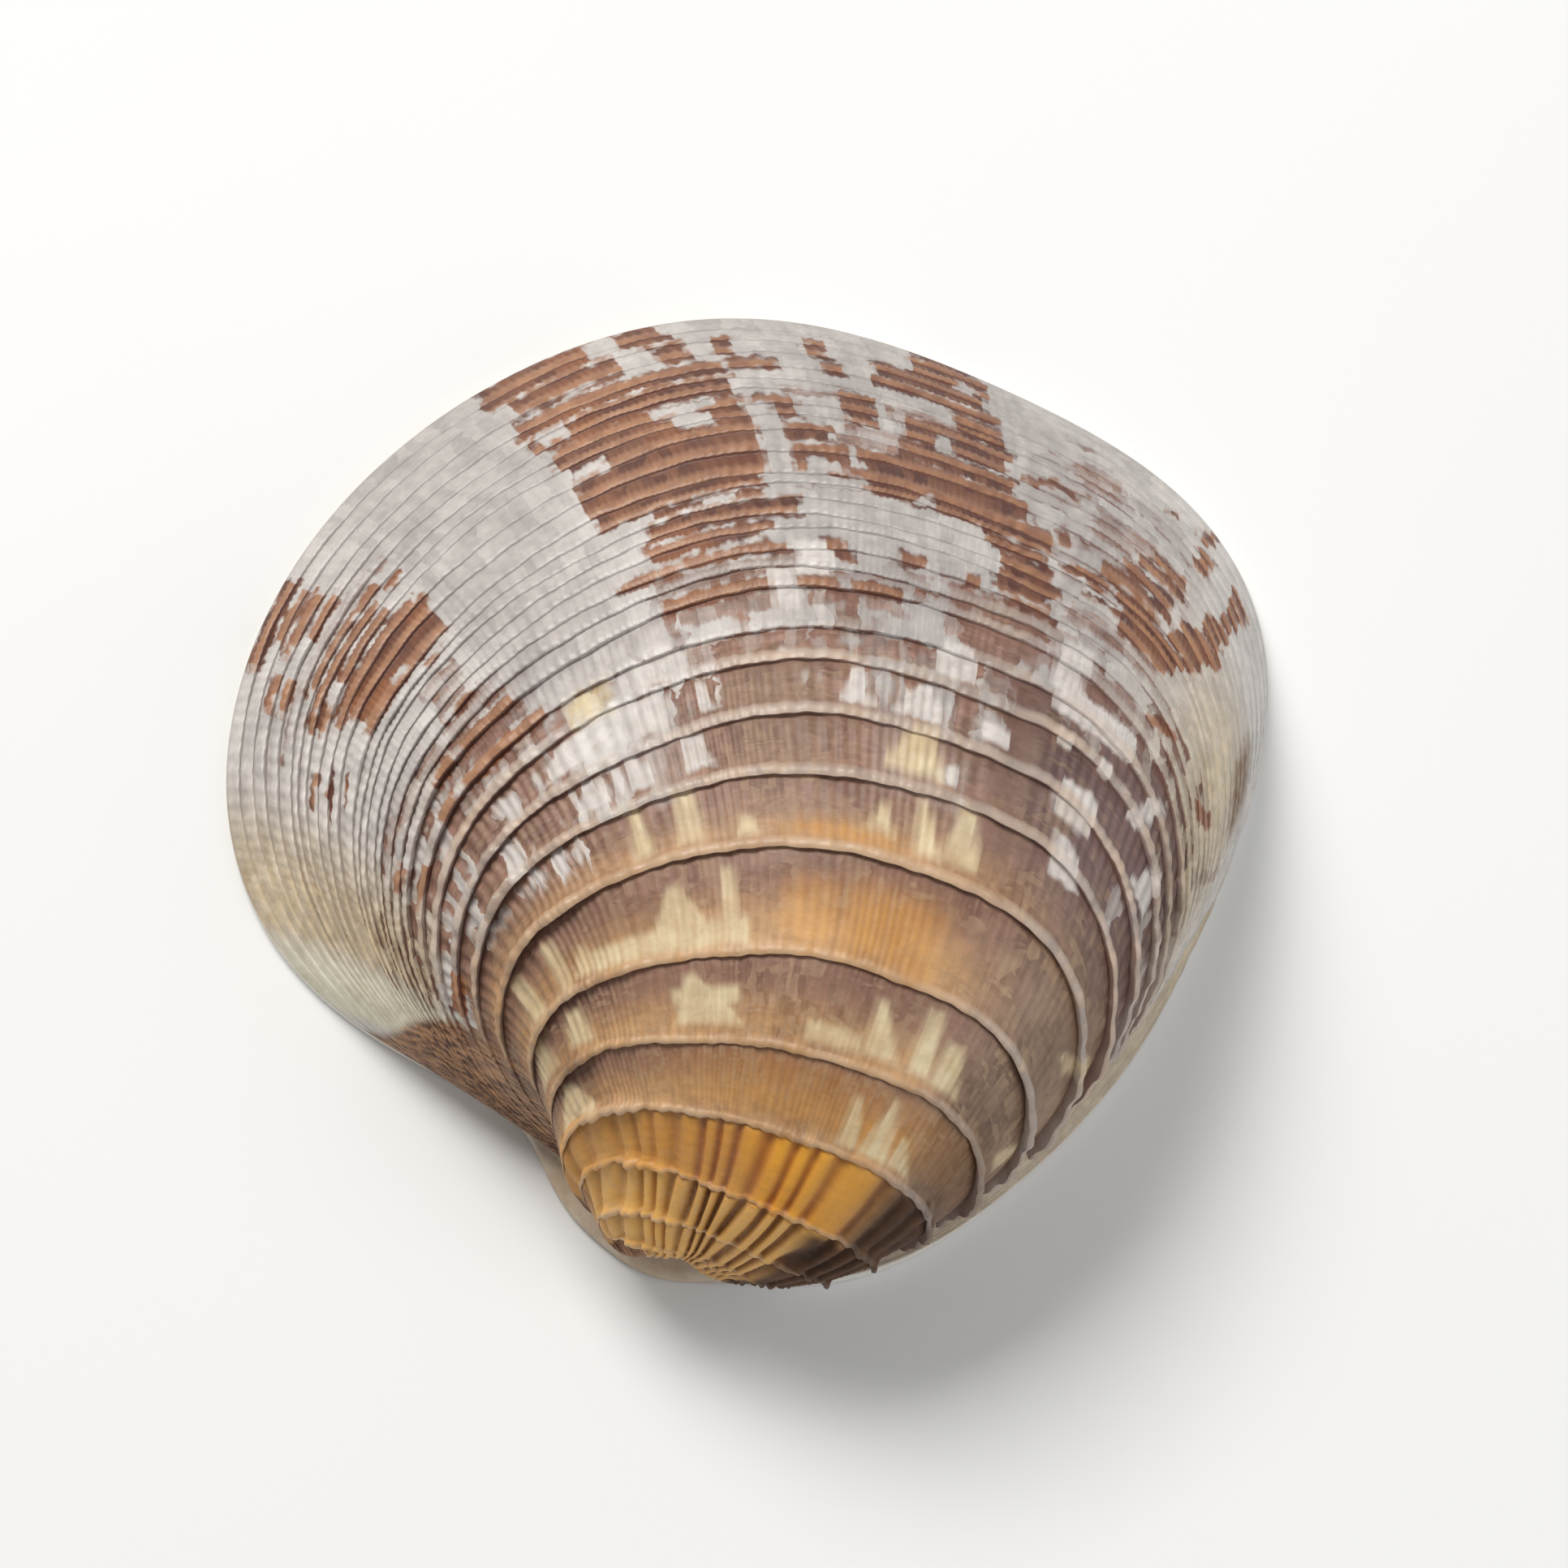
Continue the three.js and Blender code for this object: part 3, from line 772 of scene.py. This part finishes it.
def shellMaterial():
    material = bpy.data.materials.new("shell")
    material.use_nodes = True
    tree = material.node_tree
    surface = tree.nodes["Principled BSDF"]
    start = Wire(tree)

    def field(name):
        return start.node("ShaderNodeAttribute", {"attribute_name": name}, output="Fac")

    place = start.node("ShaderNodeTexCoord", output="Object")
    growthPlace = start.node("ShaderNodeUVMap", {"uv_map": "growth"})

    def noise(name, detail=2.0):
        scale, vector = shellGrain[name], place
        if isinstance(scale, tuple):
            links = {0: growthPlace, 1: scale}
            scale, vector = 1, start.node("ShaderNodeVectorMath", {"operation": "MULTIPLY"}, links)
        links = {"Vector": vector, "Scale": scale, "Detail": detail, "Roughness": 0.55}
        return start.node("ShaderNodeTexNoise", links=links)

    links = {"Vector": place, "Scale": shellGrain["wobble"], "Detail": 2}
    wobble = start.node("ShaderNodeTexNoise", links=links, output="Color")
    wobble = start.node("ShaderNodeVectorMath", {"operation": "SUBTRACT"}, {0: wobble, 1: (0.5, 0.5, 0.5)})

    def tiles(across, up, loose=1.6):  # one chance value for each riblet and ridge, with ragged edges
        size = (across, up * growthMap["lines"], 0)
        grid = start.node("ShaderNodeVectorMath", {"operation": "MULTIPLY"}, {0: growthPlace, 1: size})
        settings = {"operation": "MULTIPLY_ADD"}
        grid = start.node("ShaderNodeVectorMath", settings, {0: wobble, 1: (loose, loose * 0.6, 0), 2: grid})
        grid = start.node("ShaderNodeVectorMath", {"operation": "FLOOR"}, {0: grid})
        return start.node("ShaderNodeTexWhiteNoise", {"noise_dimensions": "2D"}, {"Vector": grid})

    blotch, coarse = noise("blotch", 3), noise("coarse", 3)
    fine, speck = noise("fine"), noise("speck", 1)
    streak, cells = noise("streak"), noise("cells", 1)
    fibres, threads = noise("fibres"), noise("threads")
    narrow, wide = tiles(shellGrain["narrowTile"], 1), tiles(shellGrain["wideTile"], 1)
    broad = tiles(*shellGrain["broadTile"], 3)
    crest, grooveShadeAndPigment, riblet, after = field("crest"), field("grooveShadeAndPigment"), field("riblet"), field("after")
    ragged = (fine - 0.5) * 1.6 + (cells - 0.5) * 2.4

    def within(name):
        return (field(name) + ragged).ease(-0.45, 0.45)

    def pair(name, share):
        return share.mix(*shellLook[name])

    mottle = (coarse * 0.5 + fine * 0.5).ease(0.35, 0.65)
    blocks = cells.ease(0.35, 0.65)
    cloud = blotch.ease(0.35, 0.65)
    broken = noise("broken").ease(0.35, 0.6)
    weave = (fibres * 0.25 + threads * 0.3 + fine * 0.1 + coarse * 0.25 + broad * 0.1).ease(0.36, 0.64)
    taupe, purple, warm, dark = field("taupe"), field("purple"), field("warm"), field("dark")
    late, grey = field("late"), field("grey")
    older = taupe.ease(0.35, 0.85)
    middle = field("middle")
    shading = mottle * 0.3 + cloud * 0.2 + narrow * 0.3 + grey * 0.45 + middle * wide * 0.3
    colour = pair("white", shading.smaller(1))
    colour = (field("beige") * (0.75 + 0.25 * blocks)).mix(colour, pair("beige", mottle))
    colour = field("greenish").mix(colour, pair("greenish", mottle))
    dull = purple.mix(pair("taupe", weave), pair("purple", weave * 0.6 + cloud * 0.4))
    dull = (taupe.ease(0.8, 1) * (1 - warm) * (1 - purple)).mix(dull, pair("rear", weave * 0.7 + cloud * 0.3))
    warmer = late.mix(pair("early", weave * 0.7 + cloud * 0.3), pair("warm", weave * 0.6 + cloud * 0.4))
    dull = warm.mix(dull, warmer)
    chance = wide * 0.6 + narrow * 0.4 + (cells - 0.5) * 0.8 - 0.5
    cover = taupe * 0.75 + middle * (chance * 1.1 + (after - 0.25) * 0.35)
    cover = cover.ease(0.28, 0.55).larger(within("dusky") * (0.5 + 0.45 * narrow))
    # crests stay paler: part of the painted crest highlight
    cover = cover * (1 - 0.5 * crest * (1 - warm))
    colour = cover.mix(colour, dull)
    gold, tan, smooth = field("gold"), field("tan"), field("smooth")
    # painted shade: the gold, tan and dark beak colours are darker in the gaps between riblets
    gap = (0.5 - 0.5 * riblet) * (1 - 0.75 * smooth)
    golden = pair("gold", (gap * 0.65 + cloud * 0.3 + late * (1 - smooth) * 0.18).smaller(1))
    golden = tan.mix(golden, pair("tan", (gap * 0.85 + cloud * 0.3).smaller(1)))
    colour = (gold.larger(tan) * (0.8 + 0.4 * cloud)).smaller(1).mix(colour, golden)
    yellow = (field("yellow") + ragged * 0.45).ease(-1.8, 1.4)
    colour = (yellow * (0.62 + 0.28 * blocks)).mix(colour, pair("yellow", mottle * 0.6 + cloud * 0.4))
    brown = within("brown").smaller(1 - within("cut"))
    ladder = narrow.ease(0.3, 0.8) * (1 - crest)
    hue = pair("brown", (ladder * 0.5 + mottle * 0.2 + after * 0.35 + grey * 0.3).smaller(1))
    hue = ((1 - grey) * blotch.ease(0.45, 0.6) * 0.5).mix(hue, shellLook["rust"])
    # painted highlight: lighter brown on the ridge crests
    hue = (crest * 0.75).mix(hue, pair("brownCrestHighlight", blocks * 0.6 + grey * 0.4))
    colour = brown.mix(colour, hue)
    pale = (field("pale") + ragged * 0.6).ease(-0.6, 0.6)
    colour = (pale * 0.85).mix(colour, pair("white", mottle * 0.5))
    colour = dark.mix(colour, pair("dark", (mottle * 0.4 + gap * 0.3 + cloud * 0.3).smaller(1)))
    lunule = field("lunule")
    colour = lunule.mix(colour, pair("lunule", streak.ease(0.35, 0.65)))
    colour = field("spot").mix(colour, shellLook["spot"])
    # pale crest colour and painted highlight along the ridge crests, broken up by noise
    crestPaleAndHighlight = crest * older * (1 - brown) * (1 - dark * 0.6) * (1 - lunule) * (0.15 + 0.7 * broken)
    crestPaleAndHighlight = crestPaleAndHighlight * (1 - 0.65 * field("lessCrestHighlight"))
    colour = crestPaleAndHighlight.mix(colour, pair("crest", warm * 0.6 + gold * 0.4))
    hatch = threads.ease(0.52, 0.66).larger(fibres.ease(0.54, 0.68)).larger(broad.ease(0.72, 0.78) * 0.9)
    hatch = hatch * taupe * (1 - gold) * (1 - dark) * (1 - 0.5 * purple) * (0.4 + 0.6 * coarse.ease(0.4, 0.6))
    colour = (hatch * 0.34).mix(colour, shellLook["hatch"])
    # painted shade: the gaps between riblets are darkened
    ribs = (riblet * 0.5 + 0.5).ease(0.1, 0.9)
    ribShade = (1 - ribs) * (0.07 * older + 0.22 * brown) * (1 - crest) * (1 - pale) * (1 - yellow)
    colour = (ribShade * (0.3 + 1.4 * fibres)).mix(colour, shellLook["grooveShadeAndPigment"])
    # painted shade: grey in the crevices, more at the head end where the ridges stand tallest
    greyGrooveShading = grooveShadeAndPigment * (0.22 * broken + 0.4 * field("headEnd")) * (1 - lunule)
    colour = greyGrooveShading.mix(colour, shellLook["greyGrooveShade"])
    shade = (1 - lunule) * (1 - pale) * (1 - yellow * 0.6)
    # painted shadow: a dark line in each crevice and just beneath each ridge's overhang, mixed with real
    # reddish-brown line pigment
    reddish = grooveShadeAndPigment.larger(after * 0.75) * middle * (1 - older) * wide.ease(0.35, 0.6) * 0.7
    line = grooveShadeAndPigment.larger(after * 0.6) * (older * 0.7).larger(brown * 0.95) * shade
    line = line * (0.3 + 0.7 * broken) * (1 - 0.4 * warm)
    line = line.larger(reddish * (1 - pale))
    colour = line.mix(colour, shellLook["grooveShadeAndPigment"])
    inner = field("inner")
    colour = inner.mix(colour, pair("inner", mottle * 0.5 + cloud * 0.5))
    colour = (field("scar") * 0.5 + field("mantle") * 0.1).mix(colour, shellLook["scar"])
    ledge = field("ledge")
    colour = ledge.mix(colour, pair("ledge", mottle * 0.6 + threads * 0.4))
    colour = (field("stain") * (0.7 + 0.3 * mottle)).mix(colour, shellLook["stain"])
    colour = (speck.ease(0.55, 0.75) * 0.1 * (1 - inner)).mix(colour, shellLook["speck"])
    tree.links.new(colour.socket, surface.inputs["Base Color"])
    roughness = shellLook["roughness"] + 0.2 * coarse + 0.12 * (1 - crest) + 0.2 * dark
    roughness = roughness - 0.14 * inner - 0.06 * field("scar")
    tree.links.new(roughness.socket, surface.inputs["Roughness"])
    bumpHeight = (threads * 0.5 + fine * 0.5 + speck * 0.25) * (1 - 0.8 * inner)
    links = {"Strength": shellLook["bump"], "Distance": shellLook["bumpDistance"], "Height": bumpHeight}
    bump = start.node("ShaderNodeBump", links=links)
    tree.links.new(bump.socket, surface.inputs["Normal"])
    surface.inputs["IOR"].default_value = shellLook["refraction"]
    return material


valve.data.materials.append(shellMaterial())
print("material")

# Camera: high above the hinge and a little behind it, turned to the valve's middle by pan and tilt
camera = {
    "distance": 276,
    "rise": 76.5,
    "side": 2.3,
    "roll": 6.9,
    "lens": 139,
    "sensor": 36,
    "near": 0.01,
    "pan": 0.01367,
    "tilt": 0.06997,
}


def placeCamera():
    rise, side, roll = [math.radians(camera[key]) for key in ("rise", "side", "roll")]
    back = Vector((-math.sin(side) * math.cos(rise), -math.cos(side) * math.cos(rise), math.sin(rise)))
    right = Vector((math.cos(side), -math.sin(side), 0))
    up = back.cross(right)
    rolledRight = math.cos(roll) * right + math.sin(roll) * up
    rolledUp = -math.sin(roll) * right + math.cos(roll) * up
    hinge = (valveLow + valveHigh) / 2 - np.array([poleMiddle[0] * mm, poleMiddle[1] * mm, 0])
    place = Vector((hinge[0], hinge[1], valveLow[2])) + back * camera["distance"] * mm
    ahead = (-back + rolledRight * camera["pan"] + rolledUp * camera["tilt"]).normalized()
    level = ahead.cross(rolledUp).normalized()
    top = level.cross(ahead)
    data = bpy.data.cameras.new("camera")
    data.lens = camera["lens"]
    data.sensor_width = camera["sensor"]
    data.clip_start = camera["near"]
    holder = bpy.data.objects.new("camera", data)
    holder.matrix_world = Matrix.Translation(place) @ Matrix((level, top, -ahead)).transposed().to_4x4()
    bpy.context.collection.objects.link(holder)
    bpy.context.scene.camera = holder


placeCamera()

studio = {
    "floorSize": 4,
    "floorGap": 0.00003,
    "paper": ((0.825, 0.825, 0.815, 1), (0.81, 0.81, 0.8, 1)),
    "paperGrain": 60,
    "paperRoughness": 0.9,
    "worldStrength": 0.27,
}
lamps = {  # place, size, power and colour
    "key": ((-0.25, 0.35, 0.55), 0.35, 4.6, (1.0, 0.98, 0.95)),
    "fill": ((0.5, -0.2, 0.5), 0.6, 1.9, (0.95, 0.97, 1.0)),
}


def stageFloor():
    bpy.ops.mesh.primitive_plane_add(size=studio["floorSize"], location=(0, 0, valveLow[2]))
    floor = bpy.context.object
    floor.name = "floor"
    paper = bpy.data.materials.new("paper")
    paper.use_nodes = True
    surface = paper.node_tree.nodes["Principled BSDF"]
    start = Wire(paper.node_tree)
    links = {"Scale": studio["paperGrain"], "Detail": 4}
    shade = start.node("ShaderNodeTexNoise", links=links).ease(0.3, 0.7).mix(*studio["paper"])
    paper.node_tree.links.new(shade.socket, surface.inputs["Base Color"])
    surface.inputs["Roughness"].default_value = studio["paperRoughness"]
    floor.data.materials.append(paper)
    floor.location.z -= studio["floorGap"]  # clear of the flat rim


def lamp(name, place, size, power, colour):
    data = bpy.data.lights.new(name, "AREA")
    data.size = size
    data.energy = power
    data.color = colour
    holder = bpy.data.objects.new(name, data)
    holder.location = place
    holder.rotation_euler = (Vector((0, 0, 0)) - Vector(place)).to_track_quat("-Z", "Y").to_euler()
    bpy.context.collection.objects.link(holder)


stageFloor()
for name, settings in lamps.items():
    lamp(name, *settings)
world = bpy.data.worlds.new("world")
world.use_nodes = True
world.node_tree.nodes["Background"].inputs["Color"].default_value = (1, 1, 1, 1)
world.node_tree.nodes["Background"].inputs["Strength"].default_value = studio["worldStrength"]
bpy.context.scene.world = world
bpy.context.scene.view_settings.view_transform = "Standard"
print("camera, floor and lights")
